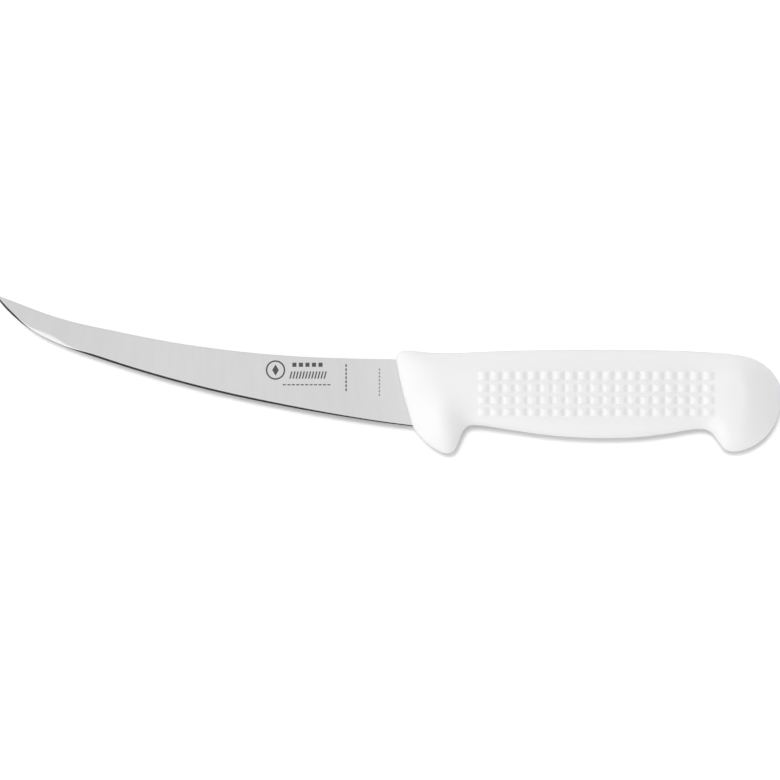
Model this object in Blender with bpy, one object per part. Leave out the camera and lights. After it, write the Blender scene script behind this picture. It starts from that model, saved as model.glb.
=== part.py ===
"""A curved boning knife with a moulded white plastic handle, lying on its side.

Two pieces, as on the real knife: one ground steel blade whose tang runs on inside the handle, and one
handle moulded round that tang, so that plastic fills the tang's holes and locks the two together.

All sizes below are millimetres in the knife's own drawing. x runs from the blade's tip (negative) to the
butt (positive), with zero at the front of the handle. y runs from the cutting edge to the spine, with zero
on the middle line of the handle. z is the thickness, with zero in the blade's middle plane. An empty then
carries both pieces, so that the world's origin is under the middle of the knife, on the surface that it
lies on.
"""

import math

import bmesh
import bpy
import numpy as np

MM = 0.001
GAP = 0.3  # clearance round the tang, where real plastic touches it

# Blade: spine and cutting edge, from the tip back to where the full width ends inside the handle.
TIP = (-146.5, 36.5)
SPINE = [
    TIP, (-122.4, 27.6), (-100.8, 22.6), (-79.2, 18.5), (-57.6, 15.6), (-36.0, 13.8), (-14.4, 13.0),
    (3.8, 12.8),
]
EDGE = [
    TIP, (-141.0, 30.2), (-133.2, 23.7), (-122.4, 18.2), (-105.0, 12.1), (-86.4, 6.4), (-63.0, 0.4),
    (-36.0, -5.1), (-10.0, -9.4), (9.4, -11.9),
]
STOCK = 2.0  # thickness of the steel, at the spine beside the handle
TIP_STOCK = 0.7  # thickness of the spine at the tip
BEVEL = 0.8  # width of the sharpened bevel
BELLY_BEVEL, HEEL_BEVEL = 0.1, 0.42  # its width at the belly, and beside the handle
BEVEL_SLOPE = 0.275  # how steeply each side of it falls to the edge
BELLY_GRIND, BELLY_SLOPE = 1.75, 0.115  # width and slope of the wider grind above it at the belly
BELLY_AT, BELLY_SPREAD = 0.158, 0.063  # where that is, as shares of the blade's length from its tip
BEVEL_FADE, GRIND_FADE = 0.5, 1.8  # how quickly each of them changes away from the belly
LEAST_GRIND = 0.2
HEEL_FROM = 0.6  # share of the blade's length where the bevel starts to narrow towards the handle
MOST_BEVEL, MOST_GRIND = 0.4, 0.25  # most that each may take of the blade's width
MOST_BEVEL_HALF, MOST_SHOULDER_HALF = 0.6, 0.8  # and of its half thickness
BLADE_STATIONS, STATION_CROWDING = 44, 1.15  # cross-sections, closer together towards the tip
ROOT_SHARES = (0.93, 0.965, 1.0)  # the sections that stand inside the handle

# Tang: a plate inside the handle, with round holes that the plastic fills.
TANG_FRONT = [(3.6, 8.0), (6.6, -7.6)]  # its two front corners
TANG_END = 106.0
TANG_END_TOP, TANG_END_BOTTOM = 5.2, -5.0
TANG_NOSE = 3.0  # radius of its two rear corners
TANG_HOLES = (30.0, 58.0, 86.0)
TANG_HOLE_RADIUS = 2.8

# Handle: the silhouette's top and bottom lines, each from the front face back to the rearmost point.
BUTT = (137.5, -1.0)
HANDLE_TOP = [
    (-1.5, 13.6), (-0.9, 14.9), (0.5, 15.75), (2.4, 16.0), (5.5, 15.8), (10.0, 15.3), (16.0, 15.1),
    (24.0, 15.3), (34.0, 15.75), (48.0, 16.1), (70.0, 16.3), (90.0, 16.15), (102.0, 15.85), (112.0, 15.3),
    (120.0, 14.6), (125.5, 13.6), (130.0, 11.6), (133.8, 8.4), (136.6, 3.9), BUTT,
]
HANDLE_BOTTOM = [
    (4.9, -11.9), (8.4, -16.1), (12.0, -19.0), (15.3, -20.75), (17.4, -21.0), (19.2, -20.2), (20.6, -17.9),
    (21.9, -14.6), (23.2, -12.2), (25.0, -11.0), (28.5, -10.9), (36.0, -11.95), (50.0, -14.05),
    (62.0, -15.15), (74.0, -15.5), (86.0, -15.1), (97.0, -13.75), (103.0, -12.7), (107.3, -12.25),
    (110.3, -12.5), (112.5, -13.9), (114.8, -17.0), (116.8, -19.5), (119.4, -20.3), (123.0, -19.9),
    (127.5, -18.1), (132.0, -14.6), (135.5, -9.0), BUTT,
]
FRONT_BOW = 0.6  # how far the front face bulges towards the blade between its ends

# Half thickness of the handle along x, before the section's rounding.
HALF_THICK = [
    (-4.0, 8.3), (6.0, 8.4), (14.0, 8.75), (24.0, 9.55), (34.0, 10.2), (48.0, 10.45), (70.0, 10.45),
    (90.0, 10.25), (103.0, 9.9), (109.0, 10.05), (119.0, 11.2), (122.0, 11.3),
]
NOSE_HALF, NOSE_RADIUS, NOSE_RUN = 3.4, 1.4, 15.0  # the front face, its round rim, the wedge behind it
NOSE_CURVE = 2.2  # how full the wedge is: 1 is flat
GUARD_FLARE = 2.15  # how much wider the guard stands
GUARD_AT, GUARD_SPREAD = (15.0, -10.5), (5.8, 8.5)  # where it does, and how far that reaches
SIDE_PLANE, LAND_SOFTNESS = 11.0, 0.1  # the flat lands that the knife lies on, and the blend round them
# Roundness of the handle's section: 2 is an ellipse, more is squarer. The last one rounds the butt's end.
NECK_POWER, TOP_POWER, GRIP_POWER, LOBE_POWER, BUTT_POWER = 3.2, 2.7, 2.8, 2.3, 1.5
# Each change of roundness starts at this x and takes this length.
NECK_END, GUARD_LOBE_END, HOOK_LOBE_START = (8.0, 26.0), (20.0, 12.0), (100.0, 14.0)
BUTT_DROP = 110.0  # from this x on, the middle line dips to the rearmost point

# Grip pad: flat-topped pyramids moulded on both sides.
PAD_COLUMNS, PAD_ROWS = 19, 4
PAD_X, PAD_Y = (27.7, 112.8), (8.8, -8.5)
STUD_HEIGHT = 0.75
STUD_SLOPE = 0.34  # share of the pitch that each sloping side takes
STUD_LINES = (0.0, STUD_SLOPE, 1 - STUD_SLOPE)  # where a stud's faces start, as shares of its pitch
MOST_PAD_UP, MOST_PAD_DOWN = 0.62, 0.8  # most that the pad may take of the height over and under the middle

FRONT_SLICES, BUTT_SLICES = 18, 18
TOP_LEVELS, BOTTOM_LEVELS = 5, 6
SHARP_ANGLE = 18.0  # degrees between two faces whose shading isn't blended


def smooth_path(points, steps=24):
    """A centripetal Catmull-Rom curve through the points, as an array of close points."""
    p = [np.array(q, float) for q in points]
    p = [2 * p[0] - p[1], *p, 2 * p[-1] - p[-2]]
    path = []
    for a, b, c, d in zip(p, p[1:], p[2:], p[3:]):
        t1 = math.sqrt(np.linalg.norm(b - a))
        t2 = t1 + math.sqrt(np.linalg.norm(c - b))
        t3 = t2 + math.sqrt(np.linalg.norm(d - c))
        for t in np.linspace(t1, t2, steps, endpoint=False):
            ab = a + (b - a) * t / t1
            bc = b + (c - b) * (t - t1) / (t2 - t1)
            cd = c + (d - c) * (t - t2) / (t3 - t2)
            abc = ab + (bc - ab) * t / t2
            bcd = bc + (cd - bc) * (t - t1) / (t3 - t1)
            path.append(abc + (bcd - abc) * (t - t1) / (t2 - t1))
    path.append(p[-2])
    return np.array(path)


def lengths_along(path):
    return np.concatenate([[0.0], np.cumsum(np.linalg.norm(np.diff(path, axis=0), axis=1))])


def point_at(path, length):
    """The point at this length along the path."""
    along = lengths_along(path)
    return np.array([np.interp(length, along, path[:, k]) for k in (0, 1)])


def smooth_step(x):
    x = np.clip(x, 0.0, 1.0)
    return x * x * (3 - 2 * x)


def new_object(name, points, faces, material=None):
    """A mesh object from millimetre points, its faces turned outwards. With no material, it is a cutter."""
    mesh = bpy.data.meshes.new(name)
    body = bmesh.new()
    verts = [body.verts.new([MM * float(value) for value in point]) for point in points]
    for face in faces:
        body.faces.new([verts[k] for k in face])
    bmesh.ops.recalc_face_normals(body, faces=body.faces)
    body.to_mesh(mesh)
    body.free()
    obj = bpy.data.objects.new(name, mesh)
    bpy.context.scene.collection.objects.link(obj)
    if material:
        mesh.materials.append(material)
        mesh.shade_smooth()
        mesh.set_sharp_from_angle(angle=math.radians(SHARP_ANGLE))
    else:
        obj.hide_render = True
        obj.display_type = "WIRE"
    return obj


def combine(obj, other, operation):
    modifier = obj.modifiers.new(f"{operation.lower()}_{other.name}", "BOOLEAN")
    modifier.operation = operation
    modifier.object = other


# ------------------------------------------------------------------------------------------------ blade


def ground_widths(t):
    """Widths of the bevel and of the grind above it at share t of the blade's length from the tip."""
    away = ((t - BELLY_AT) / BELLY_SPREAD) ** 2
    bevel = BEVEL + (BELLY_BEVEL - BEVEL) * math.exp(-BEVEL_FADE * away * away)
    bevel += (HEEL_BEVEL - BEVEL) * smooth_step((t - HEEL_FROM) / (1 - HEEL_FROM))
    return bevel, LEAST_GRIND + BELLY_GRIND * math.exp(-GRIND_FADE * away)


def blade_section(spine, edge, t, grow=0.0):
    """Corners round the blade: spine, shoulder, bevel and edge, then back up the other side."""
    top, bottom = (point_at(path, t * lengths_along(path)[-1]) for path in (spine, edge))
    width = np.linalg.norm(top - bottom)
    down = (bottom - top) / width
    half = (TIP_STOCK + (STOCK - TIP_STOCK) * t) / 2
    bevel, grind = ground_widths(t)
    bevel, grind = min(bevel, MOST_BEVEL * width), min(grind, MOST_GRIND * width)
    bevel_half = min(BEVEL_SLOPE * bevel, MOST_BEVEL_HALF * half)
    shoulder_half = min(bevel_half + BELLY_SLOPE * grind, MOST_SHOULDER_HALF * half)
    side = [
        (*(top - down * grow), half + grow),
        (*(bottom - down * (bevel + grind)), shoulder_half + grow),
        (*(bottom - down * bevel), bevel_half + grow),
    ]
    other_side = [(x, y, -z) for x, y, z in reversed(side)]
    return [*side, (*(bottom + down * grow), 0.0), *other_side]


def loft(sections, closing_tip=None):
    """Points and faces of a skin over the sections, capped flat, or drawn to one point at its start."""
    count = len(sections[0])
    points = [corner for section in sections for corner in section]
    faces = []
    for i in range(len(sections) - 1):
        for j in range(count):
            a, b = i * count + j, i * count + (j + 1) % count
            faces.append((a, b, b + count, a + count))
    last = (len(sections) - 1) * count
    faces.append(tuple(range(last, last + count)))
    if closing_tip is None:
        faces.append(tuple(range(count)))
    else:
        points.append(closing_tip)
        faces += [(j, (j + 1) % count, len(points) - 1) for j in range(count)]
    return points, faces


def plate(name, outline, half):
    """A flat plate with this outline, from -half to half in z."""
    count = len(outline)
    points = [(x, y, z) for z in (-half, half) for x, y in outline]
    faces = [tuple(range(count)), tuple(range(count, 2 * count))]
    faces += [(j, (j + 1) % count, count + (j + 1) % count, count + j) for j in range(count)]
    return new_object(name, points, faces)


def arc(centre, radius, start, end, steps):
    """Points on an arc, from the start angle to the end angle in degrees."""
    turns = np.radians(np.linspace(start, end, steps + 1))
    return [(centre[0] + radius * math.cos(a), centre[1] + radius * math.sin(a)) for a in turns]


def tang_plate(name, grow=0.0):
    """The tang with its holes, grown outwards by grow, so that its holes shrink."""
    (top_x, top), (bottom_x, bottom) = TANG_FRONT
    rear = TANG_END - TANG_NOSE
    radius = TANG_NOSE + grow
    outline = [(top_x - grow, top + grow), (bottom_x - grow, bottom - grow)]
    outline += arc((rear, TANG_END_BOTTOM + TANG_NOSE), radius, -90, 0, 6)
    outline += arc((rear, TANG_END_TOP - TANG_NOSE), radius, 0, 90, 6)
    tang = plate(name, outline, STOCK / 2 + grow)
    for k, x in enumerate(TANG_HOLES):
        rim = arc((x, 0.0), TANG_HOLE_RADIUS - grow, 0, 345, 23)
        hole = plate(f"{name}_hole_{k + 1}", rim, 2 * STOCK)
        combine(tang, hole, "DIFFERENCE")
    return tang


def make_blade(material):
    spine, edge = smooth_path(SPINE), smooth_path(EDGE)
    shares = [(k / BLADE_STATIONS) ** STATION_CROWDING for k in range(1, BLADE_STATIONS + 1)]
    sections = [blade_section(spine, edge, t) for t in shares]
    blade = new_object("blade", *loft(sections, (*TIP, 0.0)), material)
    combine(blade, tang_plate("tang"), "UNION")
    return blade


def blade_root_cutter():
    """The blade's full width where it enters the handle, with clearance all round."""
    spine, edge = smooth_path(SPINE), smooth_path(EDGE)
    sections = [blade_section(spine, edge, t, GAP) for t in ROOT_SHARES]
    sections[-1] = [(x + GAP, y, z) for x, y, z in sections[-1]]
    return new_object("blade_root_cutter", *loft(sections))


# ----------------------------------------------------------------------------------------------- handle


def length_at(path, x):
    """Length along one of the handle's lines where it passes x, between the guard and the hook."""
    grip = (path[:, 0] > 25.0) & (path[:, 0] < 116.0)
    return np.interp(x, path[grip, 0], lengths_along(path)[grip])


def handle_slices():
    """Pairs of points, one on the top line and one on the bottom line, from the front face to the butt."""
    top, bottom = smooth_path(HANDLE_TOP), smooth_path(HANDLE_BOTTOM)
    slices = []
    for k in range(FRONT_SLICES):
        share = k / FRONT_SLICES
        close = share * (0.4 + 0.6 * share)
        over = point_at(top, length_at(top, PAD_X[0]) * close)
        under = point_at(bottom, length_at(bottom, PAD_X[0]) * (0.75 * share + 0.25 * close))
        slices.append((over, under))
    pitch = (PAD_X[1] - PAD_X[0]) / PAD_COLUMNS
    for column in range(PAD_COLUMNS):
        for share in STUD_LINES:
            x = PAD_X[0] + (column + share) * pitch
            slices.append(tuple(point_at(path, length_at(path, x)) for path in (top, bottom)))
    for k in range(BUTT_SLICES):
        share = k / BUTT_SLICES
        close = 0.65 * share + 0.35 * math.sin(0.5 * math.pi * share)
        pair = []
        for path, lag in ((top, 0.9), (bottom, 1.0)):
            start, end = length_at(path, PAD_X[1]), lengths_along(path)[-1]
            pair.append(point_at(path, start + (end - start) * close**lag))
        slices.append(tuple(pair))
    return slices


def front_x(y):
    """Where the front face stands at this y."""
    (x_top, y_top), (x_low, y_low) = HANDLE_TOP[0], HANDLE_BOTTOM[0]
    t = np.clip((y_top - y) / (y_top - y_low), 0.0, 1.0)
    return x_top + (x_low - x_top) * t - FRONT_BOW * np.sin(math.pi * t)


def crest(x, y, swell):
    """Half thickness of the handle at x, y, before its section rounds it off towards the silhouette."""
    widest = HALF_THICK[-1][0]
    beyond = np.clip((x - widest) / (BUTT[0] - widest), 0.0, 1.0)
    round_end = (1 - beyond**BUTT_POWER) ** (1 / BUTT_POWER)
    half = np.interp(x, swell[:, 0], swell[:, 1]) * round_end
    behind = np.maximum(x - front_x(y), 0.0)
    rim = NOSE_RADIUS * np.sqrt(1 - (1 - np.minimum(behind / NOSE_RADIUS, 1.0)) ** 2)
    wedge = 1 - (1 - np.minimum(behind / NOSE_RUN, 1.0)) ** NOSE_CURVE
    nose = NOSE_HALF - NOSE_RADIUS + rim + (half - NOSE_HALF) * wedge
    dx, dy = (x - GUARD_AT[0]) / GUARD_SPREAD[0], (y - GUARD_AT[1]) / GUARD_SPREAD[1]
    return np.minimum(half, nose) + GUARD_FLARE * np.exp(-dx * dx - dy * dy) * wedge


def level_off(z):
    """z, held to the side plane where it would pass it, with a small blend."""
    over = np.clip(z - (SIDE_PLANE - LAND_SOFTNESS), 0.0, 2 * LAND_SOFTNESS)
    blended = SIDE_PLANE - LAND_SOFTNESS + over - over * over / (4 * LAND_SOFTNESS)
    return np.where(z < SIDE_PLANE - LAND_SOFTNESS, z, blended)


def middle_line(x):
    """Height of the handle's middle line, which dips to the butt's rearmost point."""
    return BUTT[1] * smooth_step((x - BUTT_DROP) / (BUTT[0] - BUTT_DROP))


def slice_heights(top, bottom, middle):
    """Heights of one slice's points from its top line to its bottom line, the pad's rows among them."""
    up, down = top - middle, middle - bottom
    pad_up = min(PAD_Y[0] - middle, MOST_PAD_UP * up)
    pad_down = min(middle - PAD_Y[1], MOST_PAD_DOWN * down)
    turns = [0.5 * math.pi * k / TOP_LEVELS for k in range(TOP_LEVELS)]
    over = [middle + pad_up + (up - pad_up) * math.cos(turn) for turn in turns]
    pad = []
    for row in range(PAD_ROWS):
        for share in STUD_LINES:
            pad.append(middle + pad_up - (pad_up + pad_down) * (row + share) / PAD_ROWS)
    turns = [0.5 * math.pi * k / BOTTOM_LEVELS for k in range(BOTTOM_LEVELS + 1)]
    under = [middle - pad_down - (down - pad_down) * math.sin(turn) for turn in turns]
    return np.array(over + pad + under)


def change(x, start_and_length):
    """0 before the start and 1 after the length, smoothly."""
    start, length = start_and_length
    return smooth_step((x - start) / length)


def slice_points(index, top, bottom, swell):
    """x, y and half thickness along one slice, studs included."""
    middle = middle_line(0.5 * (top[0] + bottom[0]))
    y = slice_heights(top[1], bottom[1], middle)
    t = (top[1] - y) / (top[1] - bottom[1])
    bow = FRONT_BOW * max(0.0, 1 - index / FRONT_SLICES)
    x = top[0] + (bottom[0] - top[0]) * t - bow * np.sin(math.pi * t)
    lobe = 1 - change(x, GUARD_LOBE_END) + change(x, HOOK_LOBE_START)
    low_power = GRIP_POWER + (LOBE_POWER - GRIP_POWER) * lobe
    top_power = NECK_POWER + (TOP_POWER - NECK_POWER) * change(x, NECK_END)
    power = np.where(y > middle, top_power, low_power)
    out = np.where(y > middle, (y - middle) / (top[1] - middle), (middle - y) / (middle - bottom[1]))
    z = crest(x, y, swell) * np.clip(1 - np.clip(out, 0.0, 1.0) ** power, 0.0, 1.0) ** (1 / power)
    column, level = index - FRONT_SLICES, np.arange(len(y)) - TOP_LEVELS
    if 0 < column < 3 * PAD_COLUMNS and column % 3:
        z = z + STUD_HEIGHT * ((level > 0) & (level < 3 * PAD_ROWS) & (level % 3 > 0))
    z = level_off(z)
    z[[0, -1]] = 0.0
    return np.column_stack([x, y, z])


def handle_mesh():
    """Points and triangles of the handle's skin."""
    swell = smooth_path(HALF_THICK)
    rows = [slice_points(k, top, bottom, swell) for k, (top, bottom) in enumerate(handle_slices())]
    levels = len(rows[0])
    points, number = [], {}
    for i, row in enumerate(rows):
        for j, (x, y, z) in enumerate(row):
            for side in (1, -1):
                if side == -1 and j in (0, levels - 1):
                    number[i, j, side] = number[i, j, 1]
                    continue
                number[i, j, side] = len(points)
                points.append((x, y, side * z))
    faces = []

    def add_quad(*corners):
        """Two triangles, split along the diagonal that stands further out, for sharp hips on the studs."""
        a, b, c, d = corners
        across = abs(points[a][2] + points[c][2]) >= abs(points[b][2] + points[d][2])
        pair = ((a, b, c), (a, c, d)) if across else ((a, b, d), (b, c, d))
        faces.extend(face for face in pair if len(set(face)) == 3)

    for j in range(levels - 1):
        for side in (1, -1):
            for i in range(len(rows) - 1):
                near = (number[i, j, side], number[i, j + 1, side])
                far = (number[i + 1, j, side], number[i + 1, j + 1, side])
                add_quad(*near, *reversed(far))
            faces.append((*far, len(points)))
        add_quad(number[0, j, 1], number[0, j + 1, 1], number[0, j + 1, -1], number[0, j, -1])
    points.append((*BUTT, 0.0))
    return points, faces


def make_handle(material):
    handle = new_object("handle", *handle_mesh(), material)
    for cutter in (blade_root_cutter(), tang_plate("tang_cutter", GAP)):
        combine(handle, cutter, "DIFFERENCE")
    return handle


# ------------------------------------------------------------------------------------------------ knife


def make_material(name, colour, metallic, roughness):
    material = bpy.data.materials.new(name)
    material.use_nodes = True
    shader = material.node_tree.nodes["Principled BSDF"]
    shader.inputs["Base Color"].default_value = (*colour, 1.0)
    shader.inputs["Metallic"].default_value = metallic
    shader.inputs["Roughness"].default_value = roughness
    return material


def place(pieces):
    """Hangs everything on an empty that puts the world's origin under the middle of the knife."""
    corners = np.array([vertex.co for piece in pieces for vertex in piece.data.vertices])
    low, high = corners.min(axis=0), corners.max(axis=0)
    frame = bpy.data.objects.new("knife_frame", None)
    bpy.context.scene.collection.objects.link(frame)
    frame.location = (-(low[0] + high[0]) / 2, -(low[1] + high[1]) / 2, -low[2])
    for obj in bpy.data.objects:
        if obj.type == "MESH":
            obj.parent = frame


def main():
    for obj in list(bpy.data.objects):
        bpy.data.objects.remove(obj)
    steel = make_material("ground_steel", (0.62, 0.62, 0.63), 1.0, 0.32)
    plastic = make_material("white_plastic", (0.82, 0.82, 0.81), 0.0, 0.4)
    place([make_blade(steel), make_handle(plastic)])


main()
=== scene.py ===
"""The looks of a curved boning knife: satin ground steel, and a white moulded handle with a studded grip.

The knife lies on its side on a pale table and is seen from straight above. Shapes are worked out in the
knife's own drawing, in millimetres: x from the blade's tip (negative) to the butt (positive), zero at the
front of the handle; y from the cutting edge to the spine, zero on the handle's middle line; z the thickness,
zero in the blade's middle plane. ORIGIN carries that drawing into the frame.
"""

import math

import bmesh
import bpy
import numpy as np
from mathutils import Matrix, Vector
from mathutils.bvhtree import BVHTree


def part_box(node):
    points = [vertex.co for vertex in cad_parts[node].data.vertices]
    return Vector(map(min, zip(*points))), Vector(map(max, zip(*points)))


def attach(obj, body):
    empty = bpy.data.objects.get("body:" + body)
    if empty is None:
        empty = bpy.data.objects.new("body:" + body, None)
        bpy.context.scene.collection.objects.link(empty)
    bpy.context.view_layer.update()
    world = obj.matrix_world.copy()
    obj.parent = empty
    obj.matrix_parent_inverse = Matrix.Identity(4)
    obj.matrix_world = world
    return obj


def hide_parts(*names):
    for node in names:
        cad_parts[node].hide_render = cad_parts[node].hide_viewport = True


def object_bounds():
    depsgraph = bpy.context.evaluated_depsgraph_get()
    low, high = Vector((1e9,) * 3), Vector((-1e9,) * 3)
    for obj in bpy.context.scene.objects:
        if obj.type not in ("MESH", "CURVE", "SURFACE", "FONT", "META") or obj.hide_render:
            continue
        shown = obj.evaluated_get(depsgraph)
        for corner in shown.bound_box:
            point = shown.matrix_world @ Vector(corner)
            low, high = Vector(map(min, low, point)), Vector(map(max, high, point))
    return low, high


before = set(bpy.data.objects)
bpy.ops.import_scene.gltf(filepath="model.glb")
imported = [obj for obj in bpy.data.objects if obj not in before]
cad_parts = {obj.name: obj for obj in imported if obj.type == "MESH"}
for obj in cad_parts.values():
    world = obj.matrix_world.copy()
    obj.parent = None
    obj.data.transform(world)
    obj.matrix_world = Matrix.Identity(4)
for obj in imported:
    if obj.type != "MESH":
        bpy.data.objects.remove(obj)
cad_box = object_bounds()
blade_low, blade_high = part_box("blade")

MM = 0.001

# Blade: spine and cutting edge, from the tip back to where the full width ends inside the handle.
TIP = (-146.5, 36.5)
SPINE = [
    TIP, (-122.4, 27.6), (-100.8, 22.6), (-79.2, 18.5), (-57.6, 15.6), (-36.0, 13.8), (-14.4, 13.0),
    (3.8, 12.8),
]
EDGE = [
    TIP, (-141.0, 30.2), (-133.2, 23.7), (-122.4, 18.2), (-105.0, 12.1), (-86.4, 6.4), (-63.0, 0.4),
    (-36.0, -5.1), (-10.0, -9.4), (9.4, -11.9),
]
STOCK, TIP_STOCK = 2.0, 0.7  # thickness at the spine's heel and at its tip
TIP_ROUNDING = 0.012  # share of the length over which the blade thins out to a point
BEVEL = 0.8  # width of the sharpened bevel
BELLY_BEVEL, HEEL_BEVEL = 0.07, 0.42  # its width at the belly, and beside the handle
BEVEL_SLOPE = 0.275  # how steeply each side of it falls to the edge
BELLY_GRIND, BELLY_SLOPE, BELLY_CURVE = 1.75, 0.115, 1.4  # a wider, convex grind above it at the belly
BELLY_AT, BELLY_SPREAD = 0.158, 0.063  # where that is, as shares of the blade's length from its tip
BEVEL_FADE, GRIND_FADE = 0.5, 1.8  # how quickly each of them changes away from the belly
LEAST_GRIND = 0.04
HEEL_FROM = 0.6  # share of the blade's length where the bevel starts to narrow towards the handle
MOST_BEVEL, MOST_GRIND = 0.4, 0.25  # most that each may take of the blade's width
MOST_BEVEL_HALF, MOST_SHOULDER_HALF = 0.6, 0.8  # and of its half thickness
SPINE_CORNER = 0.16  # radius of the spine's two eased corners
MOST_CORNER = 0.3  # most that it may take of the half thickness
BLADE_STATIONS, STATION_CROWDING = 260, 1.3  # cross-sections, closer together towards the tip
FIRST_STATION = 0.0005  # share of the length where they start
ROOT_SHARES = np.linspace(0.93, 1.0, 9)  # the sections that stand inside the handle
# Places of a section's points, as shares of each zone's width.
FLANK_SHARES = (0.02, 0.1, 0.25, 0.4, 0.55, 0.7, 0.85, 0.95)
GRIND_SHARES = (0.15, 0.3, 0.45, 0.6, 0.75, 0.9, 0.97)
BEVEL_SHARES = (0.0, 0.05, 0.5, 0.95)
UV_LENGTH = 160.0  # the blade's length in its drawing-wide UVs
FLANK_REFLECTION_TONES = ((0.0, 0.58), (0.2, 0.6), (0.42, 0.635), (0.85, 0.64), (1.0, 0.7))  # painted reflection along the blade: the flank's grey rises from the tip to the heel

# Etched marks on the blade: a ringed lozenge, and rows of plain strokes.
EMBLEM_AT, EMBLEM_RADIUS, EMBLEM_LINE = (-44.8, 9.0), 3.5, 0.55
LOZENGE_HALF = (1.2, 2.0)
MARK_ROWS = (
    # first stroke, step to the next, how many, stroke's size, how far it leans, is faint
    ((-38.0, 10.9), (2.35, 0.0), 5, (1.5, 1.5), 0.0, False),
    ((-39.6, 7.2), (1.12, 0.0), 12, (0.5, 2.6), 0.7, False),
    ((-41.6, 3.7), (1.6, 0.0), 11, (1.1, 0.42), 0.0, False),
    ((-19.4, 10.6), (0.0, -1.45), 7, (0.5, 1.0), 0.0, False),
    ((-7.4, 9.2), (0.0, -1.3), 8, (0.42, 0.75), 0.0, True),
)
ETCHED_GREY, FAINT_GREY = 0.075, 0.2
MARK_RISE, MARK_DEPTH = 0.012, 0.05  # how far the inlays stand out of the flank and reach into it

# Tang, hidden inside the handle.
TANG_FRONT = [(3.6, 8.0), (6.6, -7.6)]
TANG_END, TANG_END_TOP, TANG_END_BOTTOM, TANG_NOSE = 106.0, 5.2, -5.0, 3.0
TANG_HOLES, TANG_HOLE_RADIUS = (30.0, 58.0, 86.0), 2.8
MOULDED_GAP = 0.03  # plastic is moulded tight to the steel

# Handle: the silhouette's top and bottom lines, each from the front face back to the rearmost point.
BUTT = (137.5, -1.0)
HANDLE_TOP = [
    (-1.5, 13.6), (-0.9, 14.9), (0.5, 15.75), (2.4, 16.0), (5.5, 15.8), (10.0, 15.3), (16.0, 15.1),
    (24.0, 15.3), (34.0, 15.75), (48.0, 16.1), (70.0, 16.3), (90.0, 16.15), (102.0, 15.85), (112.0, 15.3),
    (120.0, 14.6), (125.5, 13.6), (130.0, 11.6), (133.8, 8.4), (136.6, 3.9), BUTT,
]
HANDLE_BOTTOM = [
    (4.9, -11.9), (8.4, -16.1), (12.0, -19.0), (15.3, -20.75), (17.4, -21.0), (19.2, -20.2), (20.6, -17.9),
    (21.9, -14.6), (23.2, -12.2), (25.0, -11.0), (28.5, -10.9), (36.0, -11.95), (50.0, -14.05),
    (62.0, -15.15), (74.0, -15.5), (86.0, -15.1), (97.0, -13.75), (103.0, -12.7), (107.3, -12.25),
    (110.3, -12.5), (112.5, -13.9), (114.8, -17.0), (116.8, -19.5), (119.4, -20.3), (123.0, -19.9),
    (127.5, -18.1), (132.0, -14.6), (135.5, -9.0), BUTT,
]
FRONT_BOW = 0.6  # how far the front face bulges towards the blade between its ends
# Half thickness along x, before the section's rounding.
HALF_THICK = [
    (-4.0, 8.3), (6.0, 8.4), (14.0, 8.75), (24.0, 9.55), (34.0, 10.2), (48.0, 10.45), (70.0, 10.45),
    (90.0, 10.25), (103.0, 9.9), (109.0, 10.05), (119.0, 11.2), (122.0, 11.3),
]
NOSE_HALF, NOSE_RADIUS, NOSE_RUN = 3.4, 1.4, 15.0  # the front face, its round rim, the wedge behind it
NOSE_CURVE = 2.2  # how full the wedge is: 1 is flat
GUARD_FLARE = 2.15  # how much wider the guard stands
GUARD_AT, GUARD_SPREAD = (15.0, -10.5), (5.8, 8.5)  # where it does, and how far that reaches
SIDE_PLANE, LAND_SOFTNESS = 11.0, 0.1  # the flat lands that the knife lies on, and the blend round them
# Roundness of the handle's section: 2 is an ellipse, more is squarer. The last one rounds the butt's end.
NECK_POWER, TOP_POWER, GRIP_POWER, LOBE_POWER, BUTT_POWER = 3.2, 2.7, 2.8, 2.3, 1.5
# Each change of roundness starts at this x and takes this length.
NECK_END, GUARD_LOBE_END, HOOK_LOBE_START = (8.0, 26.0), (20.0, 12.0), (100.0, 14.0)
BUTT_DROP = 110.0  # from this x on, the middle line dips to the rearmost point
PARTING_RIDGE = 0.05  # how far the mould's parting line stands out

# Grip pad: flat-topped pyramids on both sides.
PAD_COLUMNS, PAD_ROWS = 19, 4
PAD_X, PAD_Y = (27.7, 112.8), (8.8, -8.5)
STUD_HEIGHT = 0.75
MOST_PAD_UP, MOST_PAD_DOWN = 0.62, 0.8  # most that the pad may take of the height over and under the middle
# Where a stud's faces start and end, as shares of its pitch: left and right face, then upper and lower.
STUD_ACROSS = (0.054, 0.388, 0.612, 0.946)
FIRST_ROW_DOWN = (0.045, 0.115, 0.725, 0.795)
OTHER_ROW_DOWN = (0.07, 0.33, 0.725, 0.795)

# Mesh lines of the handle: slices from front to butt, and levels from top to bottom.
FRONT_SLICES, BUTT_SLICES, TOP_LEVELS, BOTTOM_LEVELS = 38, 38, 24, 28
LEVEL_CROWDING = 1.6  # over 1, levels stand closer together towards the pad
# Lines within each stud's pitch.
ACROSS_SHARES = (0.0, 0.034, 0.074, 0.16, 0.27, 0.368, 0.408, 0.5, 0.592, 0.632, 0.73, 0.84, 0.926, 0.966)
DOWN_SHARES = (0.0, 0.035, 0.06, 0.1, 0.13, 0.2, 0.27, 0.315, 0.35, 0.48, 0.6, 0.71, 0.74, 0.78, 0.81, 0.9)

ORIGIN = np.array([
    blade_low.x / MM - TIP[0],
    blade_high.y / MM - TIP[1],
    (blade_low.z + blade_high.z) / 2 / MM,
])

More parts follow.
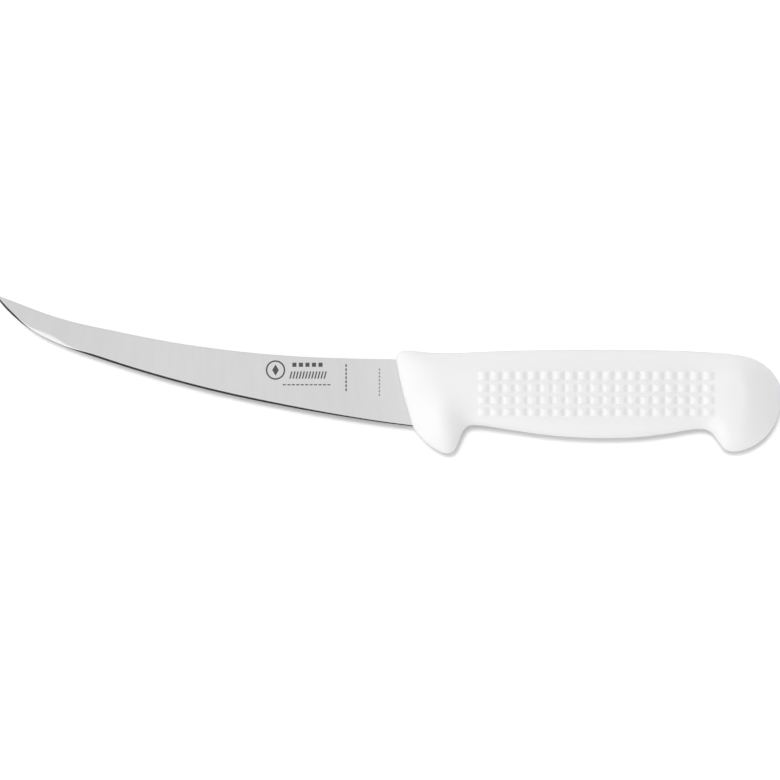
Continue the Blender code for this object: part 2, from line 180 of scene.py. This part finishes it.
# Camera.
CAMERA_HEIGHT, VIEW_WIDTH, SENSOR_WIDTH = 2.0, 0.2808, 36.0  # metres, and the sensor's millimetres
VIEW_SHIFT = (0.0009, -0.00595)  # metres from the knife's middle to the middle of the view

# Light. Directions are unit vectors from the knife: x to the right, y to the back, z up.
TENT_LIGHT = 1.06
TENT_SLANT, SLANT_FROM = (-0.84, -0.29), (0.1, 0.55)  # change of light along x and y, faded in with z
# A dark part of a ring: where it starts and ends outwards from overhead, to the right, and to the back.
GAP_INNER, GAP_OUTER, GAP_RIGHT, GAP_BACK = (0.34, 0.4), (0.86, 0.68), (0.14, 0.0), (-0.16, -0.3)
GAP_DEPTH = 0.97
SPOT_AT, SPOT_REACH, SPOT_LIGHT = (-0.2, -0.28), (0.15, 0.05), 0.3
KEY_ENERGY, KEY_WIDTH, KEY_TILT = 2.3, 9.0, (-8.1, -4.6)  # width, and tilt about x and y, in degrees

# Table, in metres.
TABLE_HALF, SHEET_GAP = 8.0, 0.0005
SEEN_GREY, BOUNCE_GREY = 0.70, 0.9


# ---------------------------------------------------------------------------------------- shared shapes


def smooth_path(points, steps=40):
    """A centripetal Catmull-Rom curve through the points, as an array of close points."""
    p = [np.array(q, float) for q in points]
    p = [2 * p[0] - p[1], *p, 2 * p[-1] - p[-2]]
    path = []
    for a, b, c, d in zip(p, p[1:], p[2:], p[3:]):
        t1 = math.sqrt(np.linalg.norm(b - a))
        t2 = t1 + math.sqrt(np.linalg.norm(c - b))
        t3 = t2 + math.sqrt(np.linalg.norm(d - c))
        for t in np.linspace(t1, t2, steps, endpoint=False):
            ab = a + (b - a) * t / t1
            bc = b + (c - b) * (t - t1) / (t2 - t1)
            cd = c + (d - c) * (t - t2) / (t3 - t2)
            abc = ab + (bc - ab) * t / t2
            bcd = bc + (cd - bc) * (t - t1) / (t3 - t1)
            path.append(abc + (bcd - abc) * (t - t1) / (t2 - t1))
    path.append(p[-2])
    return np.array(path)


def lengths_along(path):
    return np.concatenate([[0.0], np.cumsum(np.linalg.norm(np.diff(path, axis=0), axis=1))])


def points_at(path, lengths):
    """The points at these lengths along the path."""
    along = lengths_along(path)
    return np.column_stack([np.interp(lengths, along, path[:, k]) for k in (0, 1)])


def smooth_step(x):
    x = np.clip(x, 0.0, 1.0)
    return x * x * (3 - 2 * x)


def new_object(name, points, faces, materials=(), uvs=None):
    """A smooth-shaded mesh object from points in the knife's drawing, with its faces turned outwards."""
    mesh = bpy.data.meshes.new(name)
    placed = (np.asarray(points, float) + ORIGIN) * MM
    mesh.from_pydata(placed.tolist(), [], faces)
    for material in materials:
        mesh.materials.append(material)
    if uvs is not None:
        layer = mesh.uv_layers.new(name="drawing")
        corners = np.zeros(len(mesh.loops), np.int32)
        mesh.loops.foreach_get("vertex_index", corners)
        layer.data.foreach_set("uv", np.asarray(uvs, float)[corners].ravel())
    body = bmesh.new()
    body.from_mesh(mesh)
    bmesh.ops.recalc_face_normals(body, faces=body.faces)
    body.to_mesh(mesh)
    body.free()
    mesh.shade_smooth()
    obj = bpy.data.objects.new(name, mesh)
    bpy.context.scene.collection.objects.link(obj)
    return obj


def combine(obj, others, operation):
    """Cuts or joins obj with the others, which are used up."""
    for other in others:
        modifier = obj.modifiers.new(other.name, "BOOLEAN")
        modifier.operation = operation
        modifier.object = other
        modifier.solver = "MANIFOLD"
    bpy.context.view_layer.update()
    shown = obj.evaluated_get(bpy.context.evaluated_depsgraph_get())
    result = bpy.data.meshes.new_from_object(shown)
    obj.modifiers.clear()
    obj.data = result
    result.name = obj.name
    for other in others:
        bpy.data.objects.remove(other)


def plate(name, outline, half):
    """A flat plate with this outline, from -half to half in z."""
    count = len(outline)
    points = [(x, y, z) for z in (-half, half) for x, y in outline]
    faces = [tuple(range(count)), tuple(range(count, 2 * count))]
    faces += [(j, (j + 1) % count, count + (j + 1) % count, count + j) for j in range(count)]
    return new_object(name, points, faces)


def arc(centre, radius, start, end, steps):
    """Points on an arc, from the start angle to the end angle in degrees."""
    turns = np.radians(np.linspace(start, end, steps + 1))
    return [(centre[0] + radius * math.cos(a), centre[1] + radius * math.sin(a)) for a in turns]


def circle(centre, radius):
    """48 points round a circle."""
    return arc(centre, radius, 0, 352.5, 47)


def change(x, start_and_length):
    """0 before the start and 1 after the length, smoothly."""
    start, length = start_and_length
    return smooth_step((x - start) / length)


# ------------------------------------------------------------------------------------------------ blade


def ground_widths(t):
    """Widths of the bevel and of the belly's grind at share t of the blade's length from the tip."""
    away = ((t - BELLY_AT) / BELLY_SPREAD) ** 2
    bevel = BEVEL + (BELLY_BEVEL - BEVEL) * math.exp(-BEVEL_FADE * away * away)
    bevel += (HEEL_BEVEL - BEVEL) * smooth_step((t - HEEL_FROM) / (1 - HEEL_FROM))
    return bevel, LEAST_GRIND + BELLY_GRIND * math.exp(-GRIND_FADE * away)


def half_section(width, half, bevel, grind):
    """(distance from the spine, half thickness, is honed) across one side of the blade."""
    corner = min(SPINE_CORNER, MOST_CORNER * half)
    bevel_half = min(BEVEL_SLOPE * bevel, MOST_BEVEL_HALF * half)
    shoulder_half = min(bevel_half + BELLY_SLOPE * grind, MOST_SHOULDER_HALF * half)
    shoulder, bevel_top = width - bevel - grind, width - bevel
    hold = min(0.05, 0.1 * (bevel + grind))  # a point this close keeps the shoulder's shading sharp

    def flank(distance):
        return half + (shoulder_half - half) * distance / shoulder

    section = [(0.0, 0.0, False), (0.0, 0.6 * half, False), (0.0, half - 2 * corner, False)]
    section += [
        (corner * (1 - math.cos(a)), flank(corner) - corner * (1 - math.sin(a)), False)
        for a in np.radians((0, 30, 60, 90))
    ]
    for share in FLANK_SHARES:
        distance = corner + (shoulder - corner) * share
        section.append((distance, flank(distance), False))
    section += [(shoulder - hold, flank(shoulder - hold), False), (shoulder, shoulder_half, True)]
    for share in GRIND_SHARES:
        fallen = (shoulder_half - bevel_half) * share**BELLY_CURVE
        section.append((shoulder + grind * share, shoulder_half - fallen, True))
    for share in BEVEL_SHARES:
        section.append((bevel_top + bevel * share, bevel_half * (1 - share), True))
    section.append((width, 0.0, True))
    return section


def blade_rings(shares, grow=0.0):
    """Rings of points round the blade, their drawing-wide UVs, and which of a side's points are honed."""
    spine, edge = smooth_path(SPINE), smooth_path(EDGE)
    tops = points_at(spine, shares * lengths_along(spine)[-1])
    bottoms = points_at(edge, shares * lengths_along(edge)[-1])
    rings, uvs = [], []
    for t, top, bottom in zip(shares, tops, bottoms):
        width = np.linalg.norm(top - bottom)
        down = (bottom - top) / width
        thin = 1 - math.exp(-t / TIP_ROUNDING)
        half = thin * (TIP_STOCK + (STOCK - TIP_STOCK) * t) / 2
        bevel, grind = ground_widths(t)
        section = half_section(width, half, min(bevel, MOST_BEVEL * width), min(grind, MOST_GRIND * width))
        ring = [(*(top + down * d * (1 + grow / width)), z + grow) for d, z, _ in section]
        other = [(x, y, -z) for x, y, z in ring[-2:0:-1]]
        rings.append(ring + other)
        across = [d for d, _, _ in section]
        uvs.append([(UV_LENGTH * t, d) for d in across + across[-2:0:-1]])
    return rings, uvs, [honed for _, _, honed in section]


def loft(rings):
    """Faces round the rings and caps at both ends."""
    count = len(rings[0])
    faces = []
    for i in range(len(rings) - 1):
        for j in range(count):
            a, b = i * count + j, i * count + (j + 1) % count
            faces.append((a, b, b + count, a + count))
    last = (len(rings) - 1) * count
    faces.append(tuple(range(count)))
    faces.append(tuple(range(last, last + count)))
    return faces


def tang_plate(name, grow=0.0):
    """The tang with its holes, grown outwards by grow, so that its holes shrink."""
    (top_x, top), (bottom_x, bottom) = TANG_FRONT
    rear, radius = TANG_END - TANG_NOSE, TANG_NOSE + grow
    outline = [(top_x - grow, top + grow), (bottom_x - grow, bottom - grow)]
    outline += arc((rear, TANG_END_BOTTOM + TANG_NOSE), radius, -90, 0, 12)
    outline += arc((rear, TANG_END_TOP - TANG_NOSE), radius, 0, 90, 12)
    tang = plate(name, outline, STOCK / 2 + grow)
    pegs = [
        plate(f"{name}_peg_{k}", circle((x, 0.0), TANG_HOLE_RADIUS - grow), 2 * STOCK)
        for k, x in enumerate(TANG_HOLES)
    ]
    combine(tang, pegs, "DIFFERENCE")
    return tang


def make_blade(flank_steel, edge_steel):
    crowded = np.linspace(0.0, 1.0, BLADE_STATIONS) ** STATION_CROWDING
    rings, uvs, honed = blade_rings(crowded * (1 - FIRST_STATION) + FIRST_STATION)
    points = [corner for ring in rings for corner in ring]
    flat_uvs = [uv for ring in uvs for uv in ring]
    blade = new_object("blade_ground", points, loft(rings), (flank_steel, edge_steel), flat_uvs)
    last, honed_from = len(honed) - 1, honed.index(True)
    for polygon in blade.data.polygons:
        places = [v % len(rings[0]) for v in polygon.vertices]
        on_side = [min(p, 2 * last - p) for p in places]
        polygon.material_index = int(len(places) == 4 and min(on_side) >= honed_from)
    combine(blade, [tang_plate("tang")], "UNION")
    return blade


def blade_cutters():
    """What the blade's root and tang take up inside the handle, with a hair of clearance."""
    rings, _, _ = blade_rings(ROOT_SHARES, MOULDED_GAP)
    rings[-1] = [(x + MOULDED_GAP, y, z) for x, y, z in rings[-1]]
    middle = (0, len(rings[0]) // 2)  # these points of a ring lie in the middle plane, and stay there
    points = [
        (x, y, 0.0 if j in middle else z) for ring in rings for j, (x, y, z) in enumerate(ring)
    ]
    root = new_object("root_space", points, loft(rings))
    return [root, tang_plate("tang_space", MOULDED_GAP)]


# --------------------------------------------------------------------------------------- etched marks


def stroke_outline(x, y, size, lean):
    """The corners of a bar, its upper edge moved right by lean."""
    dx, dy = size[0] / 2, size[1] / 2
    return [(x - dx, y - dy), (x + dx, y - dy), (x + dx + lean, y + dy), (x - dx + lean, y + dy)]


def mark_outlines():
    """The marks, each as (its outline, with its hole's if it has one, and is faint)."""
    x, y = EMBLEM_AT
    dx, dy = LOZENGE_HALF
    ring = [circle(EMBLEM_AT, radius) for radius in (EMBLEM_RADIUS, EMBLEM_RADIUS - EMBLEM_LINE)]
    lozenge = [(x - dx, y), (x, y - dy), (x + dx, y), (x, y + dy)]
    marks = [(ring, False), ([lozenge], False)]
    for (x, y), (dx, dy), count, size, lean, faint in MARK_ROWS:
        marks += [([stroke_outline(x + dx * k, y + dy * k, size, lean)], faint) for k in range(count)]
    return marks


def make_marks(blade, materials):
    """Thin inlays in the blade's shown flank, a hair proud of it."""
    surface = BVHTree.FromObject(blade, bpy.context.evaluated_depsgraph_get())

    def on_flank(x, y, rise):
        start = Vector((np.array([x, y, 2 * STOCK]) + ORIGIN) * MM)
        hit = surface.ray_cast(start, Vector((0.0, 0.0, -1.0)))[0]
        return x, y, hit.z / MM - ORIGIN[2] + rise

    points, faces, tones = [], [], []
    for loops, faint in mark_outlines():
        starts = []
        for loop in loops:
            for rise in (MARK_RISE, -MARK_DEPTH):
                starts.append(len(points))
                points += [on_flank(x, y, rise) for x, y in loop]
        count = len(loops[0])
        # bands of faces between two of the copies, and whole faces over one where there is no hole
        bands, whole = ([(0, 1)], starts) if len(loops) == 1 else ([(0, 1), (2, 3), (0, 2), (1, 3)], [])
        new = []
        for first, second in bands:
            a, b = starts[first], starts[second]
            new += [(a + j, a + (j + 1) % count, b + (j + 1) % count, b + j) for j in range(count)]
        new += [tuple(range(start, start + count)) for start in whole]
        faces += new
        tones += [int(faint)] * len(new)
    marks = new_object("etched_marks", points, faces, materials)
    marks.data.shade_flat()
    marks.data.polygons.foreach_set("material_index", tones)
    return marks


# ----------------------------------------------------------------------------------------------- handle


def length_at(path, x):
    """Length along one of the handle's lines where it passes x, between the guard and the hook."""
    grip = (path[:, 0] > 25.0) & (path[:, 0] < 116.0)
    return np.interp(x, path[grip, 0], lengths_along(path)[grip])


def handle_slices():
    """The slices' ends on the top line and on the bottom line, crowded at the front face and the butt."""
    top, bottom = smooth_path(HANDLE_TOP), smooth_path(HANDLE_BOTTOM)
    # shares of the way from the front face to the pad: on the top line, then on the bottom line
    front = np.linspace(0.0, 1.0, FRONT_SLICES, endpoint=False)
    close = front * (0.4 + 0.6 * front)
    close_front = 0.5 * close + 0.5 * close**1.5
    under = 0.7 * front + 0.3 * close
    under = under * (0.55 + 0.45 * under)
    pitch = (PAD_X[1] - PAD_X[0]) / PAD_COLUMNS
    pad = np.array([PAD_X[0] + (c + s) * pitch for c in range(PAD_COLUMNS) for s in ACROSS_SHARES])
    # and from the pad to the rearmost point
    rear = np.linspace(0.0, 1.0, BUTT_SLICES, endpoint=False)
    rear = 0.35 * rear + 0.65 * np.sin(0.5 * np.pi * rear)
    ends = []
    for path, ahead, lag in ((top, close_front, 0.9), (bottom, under, 1.0)):
        start, stop, end = length_at(path, PAD_X[0]), length_at(path, PAD_X[1]), lengths_along(path)[-1]
        lengths = np.concatenate([start * ahead, length_at(path, pad), stop + (end - stop) * rear**lag])
        ends.append(points_at(path, lengths))
    return ends


def front_x(y):
    """Where the front face stands at this y."""
    (x_top, y_top), (x_low, y_low) = HANDLE_TOP[0], HANDLE_BOTTOM[0]
    t = np.clip((y_top - y) / (y_top - y_low), 0.0, 1.0)
    return x_top + (x_low - x_top) * t - FRONT_BOW * np.sin(math.pi * t)


def crest(x, y):
    """Half thickness of the handle at x, y, before its section rounds it off towards the silhouette."""
    swell = smooth_path(HALF_THICK)
    widest = HALF_THICK[-1][0]
    beyond = np.clip((x - widest) / (BUTT[0] - widest), 0.0, 1.0)
    round_end = (1 - beyond**BUTT_POWER) ** (1 / BUTT_POWER)
    half = np.interp(x, swell[:, 0], swell[:, 1]) * round_end
    behind = np.maximum(x - front_x(y), 0.0)
    rim = NOSE_RADIUS * np.sqrt(1 - (1 - np.minimum(behind / NOSE_RADIUS, 1.0)) ** 2)
    wedge = 1 - (1 - np.minimum(behind / NOSE_RUN, 1.0)) ** NOSE_CURVE
    nose = NOSE_HALF - NOSE_RADIUS + rim + (half - NOSE_HALF) * wedge
    dx, dy = (x - GUARD_AT[0]) / GUARD_SPREAD[0], (y - GUARD_AT[1]) / GUARD_SPREAD[1]
    return np.minimum(half, nose) + GUARD_FLARE * np.exp(-dx * dx - dy * dy) * wedge


def level_off(z):
    """z, held to the side plane where it would pass it, with a small blend."""
    over = np.clip(z - (SIDE_PLANE - LAND_SOFTNESS), 0.0, 2 * LAND_SOFTNESS)
    blended = SIDE_PLANE - LAND_SOFTNESS + over - over * over / (4 * LAND_SOFTNESS)
    return np.where(z < SIDE_PLANE - LAND_SOFTNESS, z, blended)


def middle_line(x):
    """Height of the handle's middle line, which dips to the butt's rearmost point."""
    return BUTT[1] * smooth_step((x - BUTT_DROP) / (BUTT[0] - BUTT_DROP))


def slice_heights(top, bottom, middle):
    """Heights of every slice's points from its top line to its bottom line, one row for each slice."""
    up, down = top - middle, middle - bottom
    pad_up = np.minimum(PAD_Y[0] - middle, MOST_PAD_UP * up)
    pad_down = np.minimum(middle - PAD_Y[1], MOST_PAD_DOWN * down)
    columns = []
    for k in range(TOP_LEVELS):
        angle = 0.5 * math.pi * (k / TOP_LEVELS) ** LEVEL_CROWDING
        columns.append(middle + pad_up + (up - pad_up) * math.cos(angle))
    for row in range(PAD_ROWS):
        for share in DOWN_SHARES:
            columns.append(middle + pad_up - (pad_up + pad_down) * (row + share) / PAD_ROWS)
    for k in range(BOTTOM_LEVELS + 1):
        angle = 0.5 * math.pi * (1 - (1 - k / BOTTOM_LEVELS) ** LEVEL_CROWDING)
        columns.append(middle - pad_down - (down - pad_down) * math.sin(angle))
    return np.column_stack(columns)


def stud_shape(x, y):
    """Height of the grip's flat-topped pyramids over the flank."""
    column = (x - PAD_X[0]) / (PAD_X[1] - PAD_X[0]) * PAD_COLUMNS
    row = (y - PAD_Y[0]) / (PAD_Y[1] - PAD_Y[0]) * PAD_ROWS
    inside = (column > 0) & (column < PAD_COLUMNS) & (row > 0) & (row < PAD_ROWS)
    rise = (0.0, 1.0, 1.0, 0.0)
    across = np.interp(column % 1.0, STUD_ACROSS, rise)
    first_down, other_down = np.interp(row, FIRST_ROW_DOWN, rise), np.interp(row % 1.0, OTHER_ROW_DOWN, rise)
    down = np.where(row < 1, first_down, other_down)
    return np.where(inside, STUD_HEIGHT * np.minimum(across, down), 0.0)


def handle_sheet():
    """x, y and half thickness over the handle's side, as grids of slices by levels."""
    top, bottom = handle_slices()
    top[:, 1] -= PARTING_RIDGE
    bottom[:, 1] += PARTING_RIDGE
    middle = middle_line(0.5 * (top[:, 0] + bottom[:, 0]))
    y = slice_heights(top[:, 1], bottom[:, 1], middle)
    top, bottom, middle = top[:, :, None], bottom[:, :, None], middle[:, None]
    t = (top[:, 1] - y) / (top[:, 1] - bottom[:, 1])
    bow = FRONT_BOW * np.clip(1 - np.arange(len(y)) / FRONT_SLICES, 0.0, 1.0)[:, None]
    x = top[:, 0] + (bottom[:, 0] - top[:, 0]) * t - bow * np.sin(math.pi * t)
    lobe = 1 - change(x, GUARD_LOBE_END) + change(x, HOOK_LOBE_START)
    low_power = GRIP_POWER + (LOBE_POWER - GRIP_POWER) * lobe
    top_power = NECK_POWER + (TOP_POWER - NECK_POWER) * change(x, NECK_END)
    power = np.where(y > middle, top_power, low_power)
    out = np.where(y > middle, (y - middle) / (top[:, 1] - middle), (middle - y) / (middle - bottom[:, 1]))
    z = crest(x, y) * np.clip(1 - np.clip(out, 0.0, 1.0) ** power, 0.0, 1.0) ** (1 / power)
    z = level_off(z + stud_shape(x, y))
    z[:, [0, -1]] = 0.0  # both sides meet at the parting line, which stands out a little
    y[:, 0] += PARTING_RIDGE
    y[:, -1] -= PARTING_RIDGE
    return x, y, z


def make_handle(plastic):
    x, y, z = handle_sheet()
    slices, levels = x.shape
    upper = np.arange(slices * levels).reshape(slices, levels)
    lower = upper + slices * levels
    lower[:, [0, -1]] = upper[:, [0, -1]]
    points = np.concatenate([
        np.column_stack([x.ravel(), y.ravel(), z.ravel()]),
        np.column_stack([x.ravel(), y.ravel(), -z.ravel()]),
        [(*BUTT, 0.0)],
    ])
    butt = len(points) - 1
    faces = []
    for sheet in (upper, lower):
        corners = (sheet[:-1, :-1], sheet[:-1, 1:], sheet[1:, 1:], sheet[1:, :-1])
        faces += np.column_stack([corner.ravel() for corner in corners]).tolist()
        faces += [(sheet[-1, j], sheet[-1, j + 1], butt) for j in range(levels - 1)]
    for j in range(levels - 1):
        ring = (upper[0, j], upper[0, j + 1], lower[0, j + 1], lower[0, j])
        faces.append(tuple(dict.fromkeys(int(k) for k in ring)))
    # the lower sheet's own points on the parting line stay unused, so they are left out
    used = np.unique(np.concatenate([np.ravel(face) for face in faces]))
    renumber = np.zeros(len(points), int)
    renumber[used] = np.arange(len(used))
    faces = [tuple(int(renumber[k]) for k in face) for face in faces]
    handle = new_object("handle_moulding", points[used], faces, (plastic,))
    combine(handle, blade_cutters(), "DIFFERENCE")
    return handle


# -------------------------------------------------------------------------------------------- materials


def new_material(name, grey, metallic, roughness):
    """A grey Principled material, its shader and its node tree."""
    material = bpy.data.materials.new(name)
    material.use_nodes = True
    shader = material.node_tree.nodes["Principled BSDF"]
    shader.inputs["Base Color"].default_value = (grey, grey, grey, 1.0)
    shader.inputs["Metallic"].default_value = metallic
    shader.inputs["Roughness"].default_value = roughness
    return material, shader, material.node_tree


def add_math(tree, operation, *values):
    """The result of a maths node, for numbers or other nodes' results."""
    node = tree.nodes.new("ShaderNodeMath")
    node.operation = operation
    for socket, value in zip(node.inputs, values):
        if isinstance(value, (int, float)):
            socket.default_value = value
        else:
            tree.links.new(value, socket)
    return node.outputs[0]


def add_mix(tree, factor, first, second, blend="MIX"):
    """A colour mixed from two. Each value is a constant or another node's result."""
    mix = tree.nodes.new("ShaderNodeMix")
    mix.data_type = "RGBA"
    mix.blend_type = blend
    for name, value in (("Factor", factor), ("A", first), ("B", second)):
        if isinstance(value, (float, tuple)):
            mix.inputs[name].default_value = value
        else:
            tree.links.new(value, mix.inputs[name])
    return mix.outputs["Result"]


def add_noise(tree, source, scale, detail=2.0):
    """Noise over the source coordinates, stretched by scale."""
    mapping = tree.nodes.new("ShaderNodeMapping")
    mapping.inputs["Scale"].default_value = scale
    noise = tree.nodes.new("ShaderNodeTexNoise")
    noise.inputs["Scale"].default_value = 1.0
    noise.inputs["Detail"].default_value = detail
    tree.links.new(source, mapping.inputs["Vector"])
    tree.links.new(mapping.outputs["Vector"], noise.inputs["Vector"])
    return noise.outputs["Fac"]


def add_spread(tree, value, start, end, low, high, blend="LINEAR"):
    """low where value is at the start and high where it is at the end, held beyond both."""
    spread = tree.nodes.new("ShaderNodeMapRange")
    spread.interpolation_type = blend
    for name, number in (("From Min", start), ("From Max", end), ("To Min", low), ("To Max", high)):
        spread.inputs[name].default_value = number
    tree.links.new(value, spread.inputs["Value"])
    return spread.outputs["Result"]


def add_range(tree, noise, low, high):
    """The noise's usual range, spread over low to high."""
    return add_spread(tree, noise, 0.3, 0.7, low, high)


def add_step(tree, value, start, end):
    """0 before start and 1 after end, or the other way round where start is larger."""
    return add_spread(tree, value, start, end, 0.0, 1.0, "SMOOTHSTEP")


def add_tones(tree, place, tones):
    """Greys along place, given as (place, grey) pairs."""
    ramp = tree.nodes.new("ShaderNodeValToRGB")
    while len(ramp.color_ramp.elements) < len(tones):
        ramp.color_ramp.elements.new(1.0)
    for element, (position, grey) in zip(ramp.color_ramp.elements, tones):
        element.position = position
        element.color = (grey, grey, grey, 1.0)
    tree.links.new(place, ramp.inputs["Fac"])
    return ramp.outputs["Color"]


def add_bump(tree, shader, height, depth_mm):
    bump = tree.nodes.new("ShaderNodeBump")
    bump.inputs["Distance"].default_value = depth_mm * MM
    tree.links.new(height, bump.inputs["Height"])
    tree.links.new(bump.outputs["Normal"], shader.inputs["Normal"])


def drawing_coordinates(tree):
    uv = tree.nodes.new("ShaderNodeUVMap")
    uv.uv_map = "drawing"
    return uv.outputs["UV"]


def object_coordinates(tree):
    return tree.nodes.new("ShaderNodeTexCoord").outputs["Object"]


def ground_steel():
    """Satin flank: fine grinding lines run from the spine to the edge."""
    material, shader, tree = new_material("ground_steel", 0.64, 1.0, 0.3)
    place = drawing_coordinates(tree)
    lines = add_noise(tree, place, (5.0, 0.05, 1.0), detail=4.0)
    patches = add_range(tree, add_noise(tree, place, (0.35, 0.06, 1.0)), 0.985, 1.015)
    along = tree.nodes.new("ShaderNodeSeparateXYZ")
    tree.links.new(place, along.inputs[0])
    # painted reflection: the flank's base grey is darker at the tip and lighter towards the heel
    tones = add_tones(tree, add_math(tree, "DIVIDE", along.outputs["X"], UV_LENGTH), FLANK_REFLECTION_TONES)
    tree.links.new(add_mix(tree, 1.0, tones, patches, "MULTIPLY"), shader.inputs["Base Color"])
    tree.links.new(add_range(tree, lines, 0.28, 0.34), shader.inputs["Roughness"])
    add_bump(tree, shader, lines, 0.003)
    return material


def honed_steel():
    """Sharpened bevel: finer and brighter, with stone lines across it."""
    material, shader, tree = new_material("honed_steel", 0.66, 1.0, 0.14)
    lines = add_noise(tree, drawing_coordinates(tree), (9.0, 0.4, 1.0), detail=3.0)
    tree.links.new(add_range(tree, lines, 0.11, 0.18), shader.inputs["Roughness"])
    add_bump(tree, shader, lines, 0.001)
    return material


def white_plastic():
    """Moulded polypropylene with a fine spark-eroded skin."""
    material, shader, tree = new_material("white_plastic", 0.92, 0.0, 0.42)
    place = object_coordinates(tree)
    grain = add_noise(tree, place, (2600.0,) * 3)
    patches = add_noise(tree, place, (60.0,) * 3)
    tree.links.new(add_range(tree, patches, 0.38, 0.48), shader.inputs["Roughness"])
    add_bump(tree, shader, grain, 0.012)
    shader.inputs["IOR"].default_value = 1.49
    return material


def etched_steel(name, grey):
    """Etching: the satin is eaten away to a dull oxide."""
    material, shader, tree = new_material(name, grey, 0.0, 0.55)
    grain = add_noise(tree, object_coordinates(tree), (9000.0,) * 3)
    dark, light = ((*(share * grey,) * 3, 1.0) for share in (0.75, 1.25))
    tint = add_mix(tree, add_range(tree, grain, 0.0, 1.0), dark, light)
    tree.links.new(tint, shader.inputs["Base Color"])
    return material


# ------------------------------------------------------------------------------------------------ stage


def add_camera():
    """Straight above the knife, with a long lens, framing the knife from edge to edge."""
    data = bpy.data.cameras.new("camera")
    data.sensor_width = SENSOR_WIDTH
    data.lens = SENSOR_WIDTH * CAMERA_HEIGHT / VIEW_WIDTH
    camera = bpy.data.objects.new("camera", data)
    x, y, z = ((low + high) / 2 for low, high in zip(*cad_box))
    camera.location = (x + VIEW_SHIFT[0], y + VIEW_SHIFT[1], z + CAMERA_HEIGHT)
    bpy.context.scene.collection.objects.link(camera)
    bpy.context.scene.camera = camera


def add_product(tree, first, *others):
    for other in others:
        first = add_math(tree, "MULTIPLY", first, other)
    return first


def add_distance(tree, x, y):
    """How far x, y is from zero."""
    squares = [add_math(tree, "POWER", value, 2.0) for value in (x, y)]
    return add_math(tree, "SQRT", add_math(tree, "ADD", *squares))


def add_world():
    """A white tent: brighter on the left, with a dark part of a ring and a bright spot inside that ring."""
    world = bpy.data.worlds.new("tent")
    bpy.context.scene.world = world
    world.use_nodes = True
    tree = world.node_tree
    axes = tree.nodes.new("ShaderNodeSeparateXYZ")
    tree.links.new(tree.nodes.new("ShaderNodeTexCoord").outputs["Generated"], axes.inputs[0])
    x, y, z = axes.outputs

    slants = [add_product(tree, axis, slant) for axis, slant in zip((x, y), TENT_SLANT)]
    slant = add_product(tree, add_math(tree, "ADD", *slants), add_step(tree, z, *SLANT_FROM))
    light = add_math(tree, "ADD", slant, TENT_LIGHT)

    reach = add_distance(tree, x, y)
    gap = add_product(
        tree,
        add_step(tree, reach, *GAP_INNER),
        add_step(tree, reach, *GAP_OUTER),
        add_step(tree, x, *GAP_RIGHT),
        add_step(tree, y, *GAP_BACK),
    )
    light = add_product(tree, light, add_math(tree, "SUBTRACT", 1.0, add_product(tree, gap, GAP_DEPTH)))

    away = [add_math(tree, "SUBTRACT", axis, place) for axis, place in zip((x, y), SPOT_AT)]
    spot = add_product(tree, add_step(tree, add_distance(tree, *away), *SPOT_REACH), SPOT_LIGHT)
    light = add_math(tree, "ADD", light, spot)

    background = tree.nodes["Background"]
    tree.links.new(light, background.inputs["Strength"])
    background.inputs["Color"].default_value = (1.0, 1.0, 1.0, 1.0)


def add_table(name, grey, z):
    """One large flat sheet of the table."""
    mesh = bpy.data.meshes.new(name)
    corners = [(TABLE_HALF * x, TABLE_HALF * y, z) for x, y in ((-1, -1), (1, -1), (1, 1), (-1, 1))]
    mesh.from_pydata(corners, [], [(0, 1, 2, 3)])
    material, shader, _ = new_material(name, grey, 0.0, 0.9)
    shader.inputs["Specular IOR Level"].default_value = 0.0
    mesh.materials.append(material)
    table = bpy.data.objects.new(name, mesh)
    bpy.context.scene.collection.objects.link(table)
    return table


def add_floor():
    """A pale table in two sheets: one is seen, and the one just under it only lights the knife."""
    seen = add_table("table", SEEN_GREY, 0.0)
    seen.visible_diffuse = False
    seen.visible_glossy = False
    seen.visible_shadow = False
    bounce = add_table("table_bounce", BOUNCE_GREY, -SHEET_GAP)
    bounce.visible_camera = False
    return seen


def add_key(floor):
    """The lamp that gives the table its soft shadow. It lights the table only."""
    lamp = bpy.data.lights.new("key", "SUN")
    lamp.energy = KEY_ENERGY
    lamp.angle = math.radians(KEY_WIDTH)
    key = bpy.data.objects.new("key", lamp)
    key.rotation_euler = (math.radians(KEY_TILT[0]), math.radians(KEY_TILT[1]), 0.0)
    bpy.context.scene.collection.objects.link(key)
    lit = bpy.data.collections.new("lit_by_key")
    lit.objects.link(floor)
    key.light_linking.receiver_collection = lit


# ------------------------------------------------------------------------------------------------ scene

blade = make_blade(ground_steel(), honed_steel())
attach(blade, "root")
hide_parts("blade")

etchings = (etched_steel("etched_dark", ETCHED_GREY), etched_steel("etched_faint", FAINT_GREY))
marks = make_marks(blade, etchings)
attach(marks, "root")

handle = make_handle(white_plastic())
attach(handle, "root")
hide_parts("handle")

add_camera()
add_world()
add_key(add_floor())
bpy.context.scene.view_settings.view_transform = "Standard"
